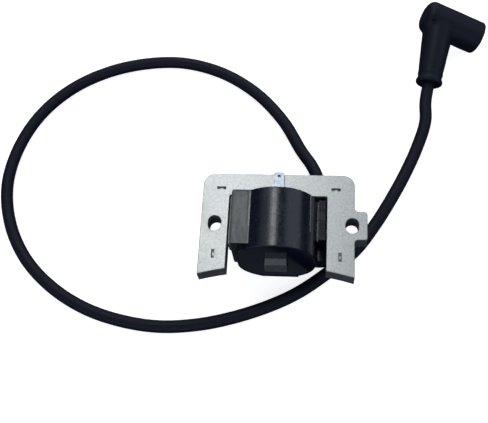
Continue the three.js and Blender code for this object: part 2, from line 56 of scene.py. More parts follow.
CORE_TOP = 22.8
CORE_HALF_WIDTH = 32
CORE_CORNER = 4.9
WINDOW_HALF_WIDTH = 20.56
WINDOW_TOP = 12.92
WINDOW_CORNER = 0.5
LEG_HALF_WIDTH = 4.55
POLE_RADIUS = 118
POLE_Y = -18.05
EAR = {"reach": 37.25, "bottom": -6.1, "top": 6.5, "inner_corner": 1.6, "lower_corner": 1.1,
       "upper_corner": 1.5}
SLOT = {"radius": 2.7, "straight": 1.3, "places": (-26.15, 31)}
INTERLOCK = {"length": 3.9, "width": 1.35, "depth": 0.9, "ramp": 1.3, "side": 0.3,
             "bump": 0.4, "over": 0.3}
INTERLOCKS = ((-24.2, 16.15, False), (24.2, 16.15, False), (-26, -13.5, True), (26.1, -13.7, True))
SHEETS = [f"core_sheet_{i:02d}" for i in range(1, 14)]
SHEET_EDGE = {"outer": 0.2, "inner": 0.05}
SHEET_SHIFT = 0.03

# Coil body. The cup's pocket leaves thinner walls than the CAD's, and the wing's face is cut back
# from the core's front by "high" at its crest and by "low" at its outer edge.
BODY = {"radius": 16.2, "front": 22.2, "rear": 14.6, "bottom": -15.4, "top": 10.2,
        "rim": 0.45, "edge": 0.3}
CHAMBER = {"radius": 13.9, "rear": 16.4, "top": 8.9}
END_SEAT = {"radius": 15.3, "depth": 1.5, "lowest": 1.1}
END_COVER = {"gap": 0.1, "edge": 0.12}
LEG_HOLE = (4.9, 4.5, 0.4)  # half width, half height and corner radius
CUP = {"left": -18.2, "right": -8, "bottom": -13.3, "top": 10.2, "back": 11.6, "front": 34.6,
       "corner": 0.7, "rim": 0.28}
POCKET = {"left": -17.85, "right": -11.1, "bottom": -12.95, "top": 9.85, "floor": 30.6}
RESIN = {"climb": 0.12, "reach": 0.8, "swell": 0.06, "clearance": 0.15}
FLANGE = {"left": -20, "right": -17, "bottom": -9, "top": 12.4, "off_back": 0.1,
          "off_front": 0.3}
WING = {"left": 12, "right": 20, "bottom": -6.2, "top": 11.4, "back": 12, "high": 0.5,
        "low": 0.7, "crest": 17.1, "groove": 16.2, "groove_depth": 2.2}
RIDGE = {"left": 10, "right": 14, "bottom": -6.2, "off_top": 0.15, "back": 24, "front": 30.9}
KEEL = {"left": -7, "right": 9, "front": 6}
REAR_WINDOW = {"left": -5.5, "right": 7.5, "bottom": -12, "top": 7, "front": 4}
TOWER = {"x": 17.5, "z": 9.5, "radius": 4.5, "bottom": -12.6, "top": 12.4, "bore": 3.1}
TOWER_WEB = {"left": 11, "top": 9.4, "back": 5.2, "front": 13.8}
SPIKE_HOLE = {"radius": 1, "depth": 5}
SEAL = {"bore": 3.05, "root": 4.3, "tip": 3.6, "collar": 0.7, "edge": 0.3, "chamfer": 0.15}

BLADE = {"x": 0.15, "half": 2.2, "shoulder": 2.75, "start": 9.1, "shoulder_end": 17.4,
         "end": 23.3, "back": 23.15, "front": 23.95, "corner": 0.3, "tip_corner": 0.9,
         "edge": 0.14}
BLADE_HOLE = {"radius": 0.55, "from_end": 1.8}
BLADE_SLOT = {"side": 0.25, "end": 11}

# Lead and boot. Places along the sleeve are distances from its tail, and the lead starts and ends
# this far from the line through the slots and from the boot's elbow.
LEAD_DIAMETER = 5.5
LEAD_HEIGHT = 2.85
LEAD_START, LEAD_END = 2.7, 12.3
BOOT_CENTRE = Vector((69.05, 107.1, 13.8))
BOOT_SLOPE, BOOT_ROLL, BOOT_HEADING, BOOT_ELBOW = 11, 18.5, -9.9, 82.5
BARREL = {"radius": 7.6, "mouth": 20.3, "end": -8.2, "rounding": 3.5, "rim": 1.1, "bore": 5.1,
          "bore_end": -4.6}
MOUTH_FLARE = ((0, -1.6), (0.4, -0.4), (1.1, 1))  # wider than the bore, place from the mouth
SLEEVE = {"root": 7.4, "tip": 5.3, "length": 31.5, "lip": 6.1, "bore": 3.1}
RING = ((4.2, 0), (4.6, 0.16), (5, 0.16), (5.4, 0))  # place, height over the sleeve
FUNNEL = ((5.2, -1), (4.9, 0.5), (4.2, 4), (3.1, 7))  # radius, place
DIMPLE = {"place": Vector((4.1, -4.4, 6.4)), "radius": 0.85, "depth": 0.95}
VOXEL = 0.34

THROUGH = 1  # how far a cutter goes past a surface
FAR = 60  # further than the coil body reaches
BEYOND_FRONT = 40
ON_PLANE = 0.01  # how near a point lies to a plane that it is on

# The coil's datum in the frame: the windings surround the centre leg, and the core's top bar is
# CORE_TOP from the slots' line.
winding_low, winding_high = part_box("primary_bobbin")
DATUM = Vector(((winding_low.x + winding_high.x) / 2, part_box(SHEETS[0])[1].y - CORE_TOP * MM, 0))
COIL_TO_FRAME = Matrix.Translation(DATUM) @ Matrix.Scale(MM, 4)
BOOT_TURN = (
    Matrix.Rotation(math.radians(BOOT_HEADING), 4, "Z")
    @ Matrix.Rotation(math.radians(BOOT_SLOPE), 4, "X")
    @ Matrix.Rotation(math.radians(BOOT_ROLL), 4, "Y")
)
BOOT_TO_FRAME = Matrix.Scale(MM, 4) @ Matrix.Translation(BOOT_CENTRE) @ BOOT_TURN
TO_BARREL = Matrix.Rotation(math.radians(BOOT_ELBOW - 180), 4, "Z")


def span(node):
    """A CAD node's lowest and highest corners in millimetres from the coil's datum."""
    low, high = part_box(node)
    return (low - DATUM) / MM, (high - DATUM) / MM


CORE_BACK = span(SHEETS[0])[0].z + INTERLOCK["bump"]
CORE_FRONT = span(SHEETS[-1])[1].z
CORE_MIDDLE = (CORE_BACK + CORE_FRONT) / 2

# ---- Camera -------------------------------------------------------------------------------------
# It looks down on the front of the coil from beyond the pole ends, a little from the right.

camera = bpy.data.objects.new("camera", bpy.data.cameras.new("camera"))
bpy.context.scene.collection.objects.link(camera)
camera.location = (0.0144, -0.1199, 0.3232)
camera.rotation_euler = (math.radians(22.749), math.radians(4.567), math.radians(3.222))
camera.data.lens = 57.54
camera.data.sensor_width = 36
bpy.context.scene.camera = camera

# ---- Lead ---------------------------------------------------------------------------------------


def on_sleeve_axis(distance):
    """A point on the boot sleeve's axis, in millimetres in the frame."""
    return tuple(BOOT_CENTRE + BOOT_TURN @ Vector((0, -distance, 0)))


TOWER_X = DATUM.x / MM + TOWER["x"]
TOWER_Y = DATUM.y / MM
LEAD_ROUTE = [
    (TOWER_X, TOWER_Y + LEAD_START, TOWER["z"]),
    (TOWER_X, TOWER_Y + TOWER["top"], TOWER["z"]),
    (TOWER_X, TOWER_Y + 19, TOWER["z"] - 0.3),
    (13.8, 27.5, 7.6),
    (11, 35, 5.6),
    (6, 43.5, 3.6),
    (-3, 59.5, LEAD_HEIGHT),
    (-16.5, 74.5, LEAD_HEIGHT),
    (-33.5, 85.5, LEAD_HEIGHT),
    (-52.5, 91, LEAD_HEIGHT),
    (-71.5, 90.5, LEAD_HEIGHT),
    (-90, 85.5, LEAD_HEIGHT),
    (-106.5, 76, LEAD_HEIGHT),
    (-119.5, 62, LEAD_HEIGHT),
    (-127.5, 44.5, LEAD_HEIGHT),
    (-130, 25, LEAD_HEIGHT),
    (-125.5, 5.5, LEAD_HEIGHT),
    (-115.5, -11.5, LEAD_HEIGHT),
    (-101.5, -24.5, LEAD_HEIGHT),
    (-85.5, -33.5, LEAD_HEIGHT),
    (-69, -38.5, LEAD_HEIGHT),
    (-52, -40.5, LEAD_HEIGHT),
    (-35, -39, LEAD_HEIGHT),
    (-19, -35, LEAD_HEIGHT),
    (-3.5, -29, LEAD_HEIGHT),
    (7.5, -23, LEAD_HEIGHT),
    (20, -13.5, LEAD_HEIGHT),
    (30.5, -4, LEAD_HEIGHT),
    (39, 8, LEAD_HEIGHT),
    (46.5, 21, LEAD_HEIGHT),
    (53, 34, LEAD_HEIGHT),
    (58.5, 47, 3.4),
    (62, 58.5, 5.3),
    on_sleeve_axis(40),
    on_sleeve_axis(SLEEVE["length"] - 2),
    on_sleeve_axis(LEAD_END),
]


def smooth_route(points, steps=12):
    """Points along a centripetal Catmull-Rom curve through the route."""
    points = [Vector(p) for p in points]
    ends = [2 * points[0] - points[1], *points, 2 * points[-1] - points[-2]]
    route = []
    for p0, p1, p2, p3 in zip(ends, ends[1:], ends[2:], ends[3:]):
        t1 = (p1 - p0).length ** 0.5
        t2 = t1 + (p2 - p1).length ** 0.5
        t3 = t2 + (p3 - p2).length ** 0.5
        for i in range(steps):
            t = t1 + (t2 - t1) * i / steps
            a1 = p0.lerp(p1, t / t1)
            a2 = p1.lerp(p2, (t - t1) / (t2 - t1))
            a3 = p2.lerp(p3, (t - t2) / (t3 - t2))
            b1 = a1.lerp(a2, t / t2)
            b2 = a2.lerp(a3, (t - t1) / (t3 - t1))
            route.append(b1.lerp(b2, (t - t1) / (t2 - t1)))
    return [*route, points[-1]]


lead_curve = bpy.data.curves.new("lead_cable", "CURVE")
lead_curve.dimensions = "3D"
lead_curve.bevel_depth = LEAD_DIAMETER / 2 * MM
lead_curve.bevel_resolution = 10
lead_curve.use_fill_caps = True
lead_points = smooth_route(LEAD_ROUTE)
lead_spline = lead_curve.splines.new("POLY")
lead_spline.points.add(len(lead_points) - 1)
for spline_point, point in zip(lead_spline.points, lead_points):
    spline_point.co = (*(point * MM), 1)
lead_spline.use_smooth = True
lead = bpy.data.objects.new("lead_cable", lead_curve)
bpy.context.scene.collection.objects.link(lead)

# ---- Outlines -----------------------------------------------------------------------------------


def rounded(corners, step=0.25):
    """A closed outline through corners (x, y, radius), each rounded by its own radius."""
    loop = []
    for i, (x, y, *rest) in enumerate(corners):
        radius = rest[0] if rest else 0
        corner = Vector((x, y))
        if not radius:
            loop.append(corner)
            continue
        before = (Vector(corners[i - 1][:2]) - corner).normalized()
        after = (Vector(corners[(i + 1) % len(corners)][:2]) - corner).normalized()
        half = before.angle(after) / 2
        centre = corner + (before + after).normalized() * radius / math.sin(half)
        start = corner + before * radius / math.tan(half) - centre
        end = corner + after * radius / math.tan(half) - centre
        sweep = start.angle_signed(end)
        count = max(3, math.ceil(radius * abs(sweep) / step))
        for k in range(count + 1):
            loop.append(centre + Matrix.Rotation(-sweep * k / count, 2) @ start)
    return loop


def rectangle(left, bottom, right, top, radius=0):
    return rounded([(left, bottom, radius), (right, bottom, radius), (right, top, radius),
                    (left, top, radius)])


def leg_section(half_width, half_height, radius):
    return rectangle(-half_width, CORE_MIDDLE - half_height, half_width,
                     CORE_MIDDLE + half_height, radius)


def circle(radius, x=0.0, y=0.0, count=48):
    return [Vector((x + radius * math.cos(a), y + radius * math.sin(a)))
            for a in (2 * math.pi * i / count for i in range(count))]


def stadium(radius, low, high, count=56):
    """Two half circles joined by straight sides, one centre above the other."""
    angles = [math.pi * i / count for i in range(count + 1)]
    lower = [Vector((-radius * math.cos(a), low - radius * math.sin(a))) for a in angles]
    upper = [Vector((radius * math.cos(a), high + radius * math.sin(a))) for a in angles]
    return lower + upper


def pole_y(x):
    """The pole ends follow the flywheel's rim, whose centre is below the core."""
    return POLE_Y - POLE_RADIUS + math.sqrt(POLE_RADIUS**2 - x**2)


def pole_arc(start, end, parts=8):
    places = [start + (end - start) * i / parts for i in range(parts + 1)]
    return [(x, pole_y(x)) for x in places]


# ---- Meshes -------------------------------------------------------------------------------------


def mesh_from(bm, name="mesh"):
    bmesh.ops.recalc_face_normals(bm, faces=bm.faces[:])
    mesh = bpy.data.meshes.new(name)
    bm.to_mesh(mesh)
    bm.free()
    return mesh


def closed_between(bm, low, high):
    """The closed solid between two rings with as many points."""
    bm.faces.new(low)
    bm.faces.new(high)
    for i in range(len(low)):
        j = (i + 1) % len(low)
        bm.faces.new((low[i], low[j], high[j], high[i]))
    return mesh_from(bm)


def prism(loop, start, end, axis="Z"):
    """A straight solid on an outline. Along Y, the outline's x and y are x and z."""
    bm = bmesh.new()
    rings = []
    for level in (start, end):
        places = [(p.x, p.y, level) if axis == "Z" else (p.x, level, p.y) for p in loop]
        rings.append([bm.verts.new(place) for place in places])
    return closed_between(bm, *rings)


def block(x0, y0, z0, x1, y1, z1):
    return prism(rectangle(x0, y0, x1, y1), z0, z1)


def slab(part, back, front, **sides):
    """A block with a part's left, right, bottom and top, or those given here instead."""
    s = {**part, **sides}
    return block(s["left"], s["bottom"], back, s["right"], s["top"], front)


def turned(profile, count=64):
    """A solid of revolution about +Y through (radius, distance) points; radius 0 closes an end."""
    bm = bmesh.new()
    rings = []
    for radius, distance in profile:
        if radius == 0:
            rings.append([bm.verts.new((0, distance, 0))])
            continue
        angles = [2 * math.pi * i / count for i in range(count)]
        rings.append([bm.verts.new((radius * math.cos(a), distance, radius * math.sin(a)))
                      for a in angles])
    closed = profile[0][0] and profile[-1][0]
    pairs = list(zip(rings, rings[1:])) + ([(rings[-1], rings[0])] if closed else [])
    for a, b in pairs:
        for i in range(count):
            j = (i + 1) % count
            corners = [a[i % len(a)], a[j % len(a)], b[j % len(b)], b[i % len(b)]]
            bm.faces.new(list(dict.fromkeys(corners)))
    return mesh_from(bm)


def temporary(mesh):
    obj = bpy.data.objects.new("temporary", mesh)
    bpy.context.scene.collection.objects.link(obj)
    return obj


def evaluated_mesh(obj):
    graph = bpy.context.evaluated_depsgraph_get()
    return bpy.data.meshes.new_from_object(obj.evaluated_get(graph))


def combined(base, joins=(), cuts=()):
    """The base mesh joined with some meshes and then cut by others."""
    body = temporary(base)
    helpers = [body]
    steps = [(mesh, "UNION") for mesh in joins] + [(mesh, "DIFFERENCE") for mesh in cuts]
    for mesh, operation in steps:
        modifier = body.modifiers.new(operation, "BOOLEAN")
        modifier.operation = operation
        modifier.solver = "EXACT"
        modifier.object = temporary(mesh)
        helpers.append(modifier.object)
    result = evaluated_mesh(body)
    for helper in helpers:
        bpy.data.objects.remove(helper)
    return result


def cleaned(mesh, flat=0.6, merge=0.002):
    """The mesh with a boolean's needless edges and doubled points taken out."""
    bm = bmesh.new()
    bm.from_mesh(mesh)
    bmesh.ops.remove_doubles(bm, verts=bm.verts[:], dist=merge)
    bmesh.ops.dissolve_limit(bm, angle_limit=math.radians(flat), verts=bm.verts[:],
                             edges=bm.edges[:])
    bmesh.ops.dissolve_degenerate(bm, edges=bm.edges[:], dist=merge)
    return mesh_from(bm)


def plate(loops, start, end, edge):
    """A flat plate of an outline with holes, its edges rounded off."""
    curve = bpy.data.curves.new("plate", "CURVE")
    curve.dimensions = "2D"
    curve.fill_mode = "BOTH"
    curve.extrude = (end - start) / 2 - edge
    curve.bevel_depth = edge
    curve.bevel_resolution = 1
    curve.offset = -edge
    for loop in loops:
        spline = curve.splines.new("POLY")
        spline.points.add(len(loop) - 1)
        for spline_point, p in zip(spline.points, loop):
            spline_point.co = (p.x, p.y, 0, 1)
        spline.use_cyclic_u = True
    helper = temporary(curve)
    mesh = evaluated_mesh(helper)
    bpy.data.objects.remove(helper)
    mesh.transform(Matrix.Translation((0, 0, (start + end) / 2)))
    bm = bmesh.new()
    bm.from_mesh(mesh)
    bmesh.ops.remove_doubles(bm, verts=bm.verts[:], dist=1e-4)
    bmesh.ops.dissolve_limit(bm, angle_limit=math.radians(0.5), verts=bm.verts[:],
                             edges=bm.edges[:])
    return mesh_from(bm)


def modified(mesh, kind, **settings):
    """The mesh with one modifier applied."""
    helper = temporary(mesh)
    modifier = helper.modifiers.new(kind, kind)
    for key, value in settings.items():
        setattr(modifier, key, value)
    result = evaluated_mesh(helper)
    bpy.data.objects.remove(helper)
    return result


def faired(mesh, sharp_from):
    """The mesh shaded smoothly up to an angle, with its large faces shaded as flat."""
    mesh.shade_smooth()
    mesh.set_sharp_from_angle(angle=math.radians(sharp_from))
    return modified(mesh, "WEIGHTED_NORMAL", keep_sharp=True)


def bevelled(mesh, width, segments=3, angle=38):
    """The mesh with its sharp edges rounded off."""
    return modified(mesh, "BEVEL", width=width, segments=segments, limit_method="ANGLE",
                    angle_limit=math.radians(angle), miter_outer="MITER_ARC",
                    use_clamp_overlap=True)


def placed(name, mesh, materials, nodes, body="coil", to_frame=COIL_TO_FRAME, smooth=35):
    """Sets a mesh into the frame as a piece, with its finish, body and the nodes it stands for."""
    mesh.transform(to_frame)
    mesh = faired(mesh, smooth)
    mesh.name = name
    for material in materials:
        mesh.materials.append(material)
    obj = bpy.data.objects.new(name, mesh)
    bpy.context.scene.collection.objects.link(obj)
    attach(obj, body)
    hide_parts(*nodes)
    return obj


# ---- Materials ----------------------------------------------------------------------------------


class Recipe:
    """A material's node tree. Patterns are in millimetres of the piece's own space.

    The sockets of a mix node go by number: A, B and Result are 6, 7 and 2 for colours, and 2, 3
    and 0 for single values.
    """

    def __init__(self, name, colour, roughness, metallic=0.0, specular=0.5):
        self.material = bpy.data.materials.new(name)
        self.material.use_nodes = True
        self.tree = self.material.node_tree
        self.shader = next(n for n in self.tree.nodes if n.type == "BSDF_PRINCIPLED")
        self.shader.inputs["Base Color"].default_value = (*colour, 1)
        self.shader.inputs["Roughness"].default_value = roughness
        self.shader.inputs["Metallic"].default_value = metallic
        self.shader.inputs["Specular IOR Level"].default_value = specular
        self.colour = (*colour, 1)
        self.roughness = roughness
        self.height = None

    def node(self, kind, inputs=None, **settings):
        made = self.tree.nodes.new(kind)
        for key, value in settings.items():
            setattr(made, key, value)
        for key, value in (inputs or {}).items():
            if isinstance(value, bpy.types.NodeSocket):
                self.tree.links.new(value, made.inputs[key])
            else:
                made.inputs[key].default_value = value
        return made

    def space(self, stretch=(1, 1, 1)):
        """Object coordinates in millimetres, divided by a stretch along each axis."""
        place = self.node("ShaderNodeTexCoord").outputs["Object"]
        scale = [1 / (MM * s) for s in stretch]
        return self.node("ShaderNodeMapping", {"Vector": place, "Scale": scale}).outputs[0]

    def noise(self, size, detail=3.0, rough=0.55, stretch=(1, 1, 1), distortion=0.0):
        """Noise from 0 to 1, with features of about this size."""
        inputs = {"Vector": self.space(stretch), "Scale": 1 / size, "Detail": detail,
                  "Roughness": rough, "Distortion": distortion}
        return self.node("ShaderNodeTexNoise", inputs).outputs["Fac"]

    def math(self, operation, a, b=0.0, clamp=False):
        return self.node("ShaderNodeMath", {0: a, 1: b}, operation=operation,
                         use_clamp=clamp).outputs[0]

    def between(self, value, low, high, to_low=0.0, to_high=1.0):
        """The value's stretch from low to high as to_low to to_high, kept inside them."""
        inputs = {"Value": value, "From Min": low, "From Max": high, "To Min": to_low,
                  "To Max": to_high}
        return self.node("ShaderNodeMapRange", inputs, clamp=True).outputs[0]

    def tint(self, share, colour):
        """Mixes a colour over what is there, by a share from 0 to 1."""
        inputs = {"Factor": share, 6: self.colour, 7: (*colour, 1)}
        self.colour = self.node("ShaderNodeMix", inputs, data_type="RGBA").outputs[2]

    def rough(self, share, roughness):
        """Mixes a roughness over what is there, by a share from 0 to 1."""
        inputs = {0: share, 2: self.roughness, 3: roughness}
        self.roughness = self.node("ShaderNodeMix", inputs, data_type="FLOAT").outputs[0]

    def raise_by(self, value, height):
        """Adds value times a height in millimetres to the surface's relief."""
        part = self.math("MULTIPLY", value, height * MM)
        self.height = part if self.height is None else self.math("ADD", self.height, part)

    def done(self):
        """Connects what was mixed to the shader and gives the material."""
        if isinstance(self.colour, bpy.types.NodeSocket):
            self.tree.links.new(self.colour, self.shader.inputs["Base Color"])
        if isinstance(self.roughness, bpy.types.NodeSocket):
            self.tree.links.new(self.roughness, self.shader.inputs["Roughness"])
        if self.height is not None:
            bump = self.node("ShaderNodeBump", {"Height": self.height, "Distance": 1.0})
            self.tree.links.new(bump.outputs[0], self.shader.inputs["Normal"])
        return self.material


def coated_steel():
    """The sheets' faces: a dull zinc-grey coat with faint rolling lines and rubbed patches."""
    recipe = Recipe("coated_steel", (0.4, 0.404, 0.385), 0.37, metallic=0.5)
    mottle = recipe.noise(0.8, detail=4, rough=0.7)
    patches = recipe.noise(9, detail=3)
    rolling = recipe.noise(0.5, stretch=(14, 1, 1), detail=2)
    grain = recipe.noise(0.16, detail=2)
    recipe.tint(recipe.between(mottle, 0.42, 0.68, 0, 0.7), (0.52, 0.53, 0.515))
    recipe.tint(recipe.between(mottle, 0.5, 0.3, 0, 0.6), (0.3, 0.31, 0.31))
    recipe.tint(recipe.between(patches, 0.5, 0.75, 0, 0.35), (0.48, 0.485, 0.465))
    recipe.rough(recipe.between(patches, 0.35, 0.7), 0.43)
    recipe.rough(recipe.between(mottle, 0.35, 0.7, 0, 0.6), 0.32)
    recipe.raise_by(grain, 0.004)
    recipe.raise_by(rolling, 0.003)
    recipe.raise_by(mottle, 0.006)
    return recipe.done()


def cut_steel():
    """The sheets' sheared edges: dark, with drag lines across the thickness."""
    recipe = Recipe("cut_steel", (0.135, 0.143, 0.152), 0.5, metallic=0.6)
    drag = recipe.noise(0.12, stretch=(1, 1, 9), detail=3)
    stain = recipe.noise(2.6, detail=4)
    recipe.tint(recipe.between(drag, 0.4, 0.7, 0, 0.5), (0.13, 0.14, 0.145))
    recipe.tint(recipe.between(stain, 0.5, 0.8, 0, 0.6), (0.05, 0.05, 0.052))
    recipe.rough(recipe.between(drag, 0.3, 0.7), 0.38)
    recipe.raise_by(drag, 0.012)
    return recipe.done()


def moulding(name="moulding", roughness=0.25, wear=1.0):
    """Black moulded plastic with a bluish sheen, handling marks and a faint texture."""
    recipe = Recipe(name, (0.0025, 0.0035, 0.0125), roughness, specular=0.5)
    smudge = recipe.noise(4.5, detail=5, rough=0.6, distortion=0.8)
    flow = recipe.noise(2.2, stretch=(1, 5, 1), detail=3)
    fine = recipe.noise(0.22, detail=2)
    specks = recipe.between(recipe.noise(0.8, detail=3), 0.6, 0.68)
    dusty = recipe.between(recipe.noise(11, detail=2), 0.5, 0.62, 0, 0.6 * wear)
    recipe.tint(recipe.between(smudge, 0.52, 0.75, 0, 0.5 * wear), (0.01, 0.013, 0.024))
    recipe.tint(recipe.math("MULTIPLY", specks, dusty), (0.045, 0.05, 0.036))
    recipe.rough(recipe.between(smudge, 0.45, 0.72, 0, 0.7 * wear), roughness + 0.14)
    recipe.rough(recipe.between(flow, 0.5, 0.8, 0, 0.4 * wear), roughness + 0.08)
    recipe.raise_by(flow, 0.006)
    recipe.raise_by(fine, 0.0016)
    return recipe.done()


def resin():
    """Grey-green potting resin with settled filler clouds and small pits."""
    recipe = Recipe("resin", (0.06, 0.066, 0.066), 0.46)
    clouds = recipe.noise(3.2, stretch=(1, 1.8, 1), detail=5, rough=0.6, distortion=1.2)
    dust = recipe.noise(0.5, detail=4)
    pits = recipe.node("ShaderNodeTexVoronoi", {"Vector": recipe.space(), "Scale": 0.55})
    recipe.tint(recipe.between(clouds, 0.42, 0.7, 0, 0.9), (0.1, 0.11, 0.095))
    recipe.tint(recipe.between(dust, 0.55, 0.8, 0, 0.5), (0.1, 0.105, 0.11))
    recipe.rough(recipe.between(clouds, 0.35, 0.7), 0.38)
    recipe.raise_by(clouds, 0.11)
    recipe.raise_by(dust, 0.008)
    recipe.raise_by(recipe.between(pits.outputs["Distance"], 0.0, 0.09), 0.06)
    return recipe.done()


def rubber(name, roughness, colour=(0.0056, 0.0068, 0.014)):
    """Black rubber with a matt bloom and a fine skin."""
    recipe = Recipe(name, colour, roughness, specular=0.16)
    bloom = recipe.noise(7, detail=4, distortion=0.6)
    skin = recipe.noise(0.35, detail=3, rough=0.6)
    recipe.tint(recipe.between(bloom, 0.45, 0.75, 0, 0.7), tuple(1.5 * c for c in colour))
    recipe.rough(recipe.between(bloom, 0.35, 0.7), roughness + 0.12)
    recipe.raise_by(skin, 0.012)
    recipe.raise_by(bloom, 0.05)
    return recipe.done()


def plated(name, colour, roughness):
    """Plated or bare sheet metal, brushed lightly along its length."""
    recipe = Recipe(name, colour, roughness, metallic=1.0)
    brushed = recipe.noise(0.09, stretch=(1, 16, 1), detail=2)
    cloud = recipe.noise(1.3, detail=3)
    recipe.tint(recipe.between(cloud, 0.45, 0.75, 0, 0.5), tuple(0.78 * c for c in colour))
    recipe.rough(recipe.between(cloud, 0.4, 0.7), roughness + 0.14)
    recipe.raise_by(brushed, 0.003)
    return recipe.done()


def enamelled_wire(name, colour, pitch):
    """Turns of enamelled wire laid side by side along the leg, with painted shade in the grooves
    between them.
    """
    one_per_unit = 0.314  # the wave texture's scale for about one wave in each unit of length
    recipe = Recipe(name, colour, 0.3, metallic=0.9)
    turns = recipe.node("ShaderNodeTexWave",
                        {"Vector": recipe.space(), "Scale": one_per_unit / pitch},
                        bands_direction="Y", wave_profile="SIN")
    shade = recipe.noise(1.5, detail=3)
    # Painted shade: each turn darkens towards the groove beside it, down to about a third of the
    # wire's colour.
    recipe.tint(recipe.between(turns.outputs["Fac"], 0.5, 0.0), tuple(0.35 * c for c in colour))
    recipe.tint(recipe.between(shade, 0.5, 0.8, 0, 0.5), tuple(0.7 * c for c in colour))
    recipe.raise_by(turns.outputs["Fac"], pitch / 3)
    return recipe.done()


def plain_plastic(name, colour, roughness, size=1.6):
    """A filled plastic or ceramic with slight clouds and a fine surface."""
    recipe = Recipe(name, colour, roughness)
    cloud = recipe.noise(size, detail=4)
    fine = recipe.noise(0.15, detail=2)
    recipe.tint(recipe.between(cloud, 0.45, 0.75, 0, 0.6), tuple(0.75 * c for c in colour))
    recipe.rough(recipe.between(cloud, 0.35, 0.7), roughness + 0.12)
    recipe.raise_by(fine, 0.004)
    return recipe.done()


def circuit():
    """A green circuit board, with copper lines under its lacquer."""
    recipe = Recipe("circuit", (0.02, 0.085, 0.03), 0.35)
    lines = recipe.node("ShaderNodeTexBrick",
                        {"Vector": recipe.space((1.4, 1.4, 1.4)), "Color1": (1, 1, 1, 1),
                         "Color2": (1, 1, 1, 1), "Mortar": (0, 0, 0, 1), "Mortar Size": 0.12})
    weave = recipe.noise(0.3, detail=2)
    recipe.tint(lines.outputs["Fac"], (0.045, 0.15, 0.05))
    recipe.tint(recipe.between(weave, 0.5, 0.8, 0, 0.4), (0.012, 0.05, 0.02))
    recipe.raise_by(lines.outputs["Fac"], 0.03)
    return recipe.done()


STEEL_FACE = coated_steel()
STEEL_CUT = cut_steel()
HOUSING = moulding()
GLOSSY = moulding("end_moulding", roughness=0.14, wear=0.45)
POTTING = resin()
CABLE = rubber("cable_rubber", 0.5)
RUBBER = rubber("boot_rubber", 0.46)
TINNED = plated("tinned", (0.43, 0.48, 0.51), 0.42)
BRASS = plated("brass", (0.72, 0.5, 0.2), 0.28)

CAD_FINISHES = {
    plain_plastic("bobbin_plastic", (0.62, 0.57, 0.42), 0.5):
        ["primary_bobbin", "secondary_bobbin"],
    enamelled_wire("primary_wire", (0.6, 0.22, 0.07), 0.5): ["primary_winding"],
    enamelled_wire("secondary_wire", (0.5, 0.2, 0.08), 0.12):
        [f"secondary_winding_{i}" for i in range(1, 5)],
    circuit(): ["circuit_board"],
    plain_plastic("component_epoxy", (0.018, 0.018, 0.019), 0.45):
        ["power_transistor", "drive_transistor", "bias_resistor", "sense_resistor", "clamp_diode"],
    plain_plastic("ceramic", (0.45, 0.33, 0.2), 0.4): ["surge_capacitor"],
    POTTING: ["winding_resin"],
    BRASS: ["ground_strap", "lead_spike", "plug_clip"],
    TINNED: ["lead_ferrule"],
}
for material, names in CAD_FINISHES.items():
    for name in names:
        node_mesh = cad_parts[name].data
        node_mesh.materials.clear()
        node_mesh.materials.append(material)

# ---- Core ---------------------------------------------------------------------------------------


def sheet_loops():
    """The stamped outline and its two slots."""
    edge, window = CORE_HALF_WIDTH, WINDOW_HALF_WIDTH
    outline = rounded([
        *pole_arc(-edge, -window),
        (-window, WINDOW_TOP, WINDOW_CORNER),
        (-LEG_HALF_WIDTH, WINDOW_TOP, WINDOW_CORNER),
        *pole_arc(-LEG_HALF_WIDTH, LEG_HALF_WIDTH),
        (LEG_HALF_WIDTH, WINDOW_TOP, WINDOW_CORNER),
        (window, WINDOW_TOP, WINDOW_CORNER),
        *pole_arc(window, edge),
        (edge, EAR["bottom"], EAR["inner_corner"]),
        (EAR["reach"], EAR["bottom"], EAR["lower_corner"]),
        (EAR["reach"], EAR["top"], EAR["upper_corner"]),
        (edge, EAR["top"], EAR["inner_corner"]),
        (edge, CORE_TOP, CORE_CORNER),
        (-edge, CORE_TOP, CORE_CORNER),
    ])
    reach = SLOT["radius"] + SLOT["straight"] / 2
    slots = [rectangle(x - SLOT["radius"], -reach, x + SLOT["radius"], reach, SLOT["radius"])
             for x in SLOT["places"]]
    return [outline, *slots]


def interlock(x, y, upright, surface, depth):
    """A pressed interlock's dent, or its bump behind: a flat inside four ramps."""
    over = INTERLOCK["over"]
    bm = bmesh.new()
    rings = []
    for level, deep in ((surface + over, -over / depth), (surface - depth, 1)):
        along = INTERLOCK["length"] / 2 - INTERLOCK["ramp"] * deep
        across = INTERLOCK["width"] / 2 - INTERLOCK["side"] * deep
        half_x, half_y = (across, along) if upright else (along, across)
        corners = [(-half_x, -half_y), (half_x, -half_y), (half_x, half_y), (-half_x, half_y)]
        rings.append([bm.verts.new((x + dx, y + dy, level)) for dx, dy in corners])
    return closed_between(bm, *rings)


def by_direction(obj):
    """Gives sheared sides, their round-offs and pressed ramps the second material."""
    flat_from = 0.97
    for polygon in obj.data.polygons:
        polygon.material_index = 1 if abs(polygon.normal.z) < flat_from else 0


